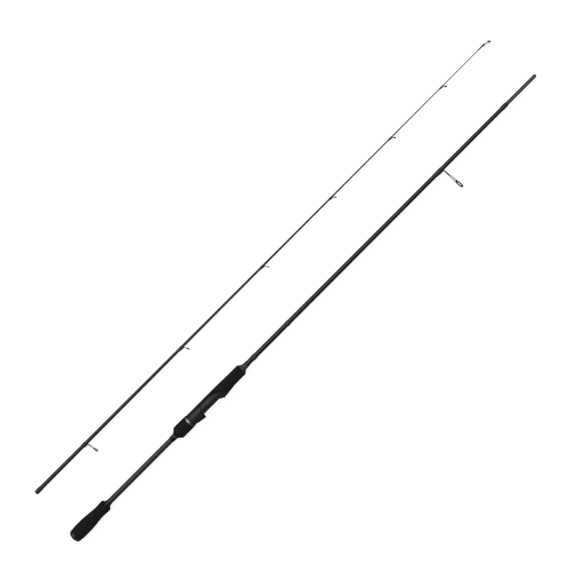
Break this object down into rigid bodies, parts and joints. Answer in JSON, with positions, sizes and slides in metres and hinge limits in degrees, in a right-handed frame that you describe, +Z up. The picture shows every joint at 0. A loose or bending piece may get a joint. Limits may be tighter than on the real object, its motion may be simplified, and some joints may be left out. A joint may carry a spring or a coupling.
{
  "type": "spinning rod",
  "caption": "Fishing rod taken down into butt and tip sections, with foam grips, a screw-locking reel seat, ring guides along one side and a spigot ferrule.",
  "frame": {"origin": "on the surface that the rod lies on, under the middle of the whole, with its two sections side by side", "axes": "+X along both sections towards their tips, +Z up, with the guides on the -Y side"},
  "size_m": [1.107, 0.1502, 0.025],
  "materials": {
    "blank": "clear-coated dark carbon",
    "spigot": "bare ground carbon",
    "foam": "closed-cell foam, matte",
    "butt_rubber": "semi-gloss rubber",
    "seat": "dark grey satin",
    "hood_liner": "matte",
    "check_plastic": "black satin",
    "check_metal": "dark anodised",
    "trim_ring": "bright turned",
    "guide_frame": "dark grey plated",
    "guide_ring": "polished black ceramic",
    "thread_wrap": "black thread under epoxy",
    "arbor": "rigid foam"
  },
  "bodies": {
    "butt_section": {"butt_cap": "butt_rubber", "rear_grip": "foam", "rear_grip_check": "check_plastic", "butt_blank": "blank", "seat_rear_check": "check_plastic", "seat_body": "seat", "fixed_hood_cushion": "hood_liner", "seat_arbor_rear": "arbor", "seat_arbor_front": "arbor", "fore_grip": "foam", "fore_grip_check": "check_metal", "fore_check_ring": "check_metal", "fore_trim_wrap": "thread_wrap", "trim_wrap_rear": "thread_wrap", "trim_wrap_front": "thread_wrap", "stripper_frame": "guide_frame", "stripper_ring": "guide_ring", "stripper_wrap": "thread_wrap", "ferrule_wrap": "thread_wrap", "ferrule_spigot": "spigot"},
    "hood": {"movable_hood": "seat", "movable_hood_cushion": "hood_liner"},
    "nut": {"seat_nut": "seat", "nut_grip": "foam", "nut_trim_ring": "trim_ring"},
    "tip_section": {"tip_blank": "blank", "socket_wrap": "thread_wrap", "guide_1_frame": "guide_frame", "guide_1_ring": "guide_ring", "guide_1_wrap": "thread_wrap", "guide_2_frame": "guide_frame", "guide_2_ring": "guide_ring", "guide_2_wrap": "thread_wrap", "guide_3_frame": "guide_frame", "guide_3_ring": "guide_ring", "guide_3_wrap": "thread_wrap", "guide_4_frame": "guide_frame", "guide_4_ring": "guide_ring", "guide_4_wrap": "thread_wrap", "guide_5_frame": "guide_frame", "guide_5_ring": "guide_ring", "guide_5_wrap": "thread_wrap", "guide_6_frame": "guide_frame", "guide_6_ring": "guide_ring", "guide_6_wrap": "thread_wrap", "tip_top_frame": "guide_frame", "tip_top_ring": "guide_ring", "tip_top_wrap": "thread_wrap"}
  },
  "joints": [
    {"name": "hood_slide", "type": "slide", "parent": "butt_section", "child": "hood", "axis": [-1, 0, 0], "range_m": [0, 0.018]},
    {"name": "nut_turn", "type": "hinge", "parent": "hood", "child": "nut", "pos_m": [-0.2915, -0.02808, 0.0125], "axis": [-1, 0, 0], "range_deg": [0, 4320]},
    {"name": "tip_section_align", "type": "slide", "parent": "butt_section", "child": "tip_section", "axis": [0.9975, -0.0705, 0.0059], "range_m": [0, 1.40352]}
  ],
  "couplings": [
    {"joint": "hood_slide", "follows": "nut_turn", "m_per_rad": 0.00023873}
  ]
}
